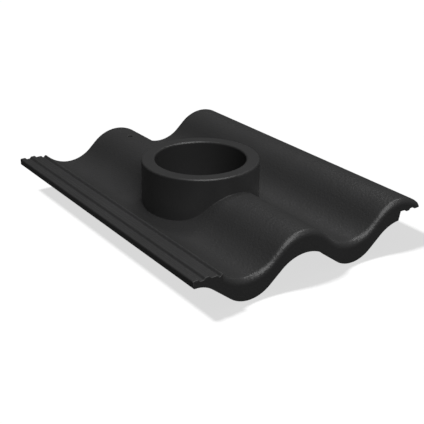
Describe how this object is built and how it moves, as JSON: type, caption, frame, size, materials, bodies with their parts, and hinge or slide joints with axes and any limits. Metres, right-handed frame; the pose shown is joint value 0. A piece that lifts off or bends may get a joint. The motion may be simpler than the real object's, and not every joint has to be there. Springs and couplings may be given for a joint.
{
  "type": "roof vent tile",
  "caption": "Wavy concrete roof tile with side lap strip and overlap, hanging nibs, a nail hole and an upright round collar that lets a vent pipe out through the roof.",
  "frame": {"origin": "under the middle of the tile's width and length, on the plane that its nose and its nibs rest on", "axes": "+X across the roof from the lap strip to the overlap, +Y up the slope from the nose to the head, +Z away from the roof along the collar's axis"},
  "size_m": [0.3316, 0.42, 0.0835],
  "materials": {
    "concrete": "dark grey through-coloured concrete with a matt, fine-grained cement skin"
  },
  "bodies": {
    "root": {"vent_tile": "concrete"}
  },
  "joints": []
}
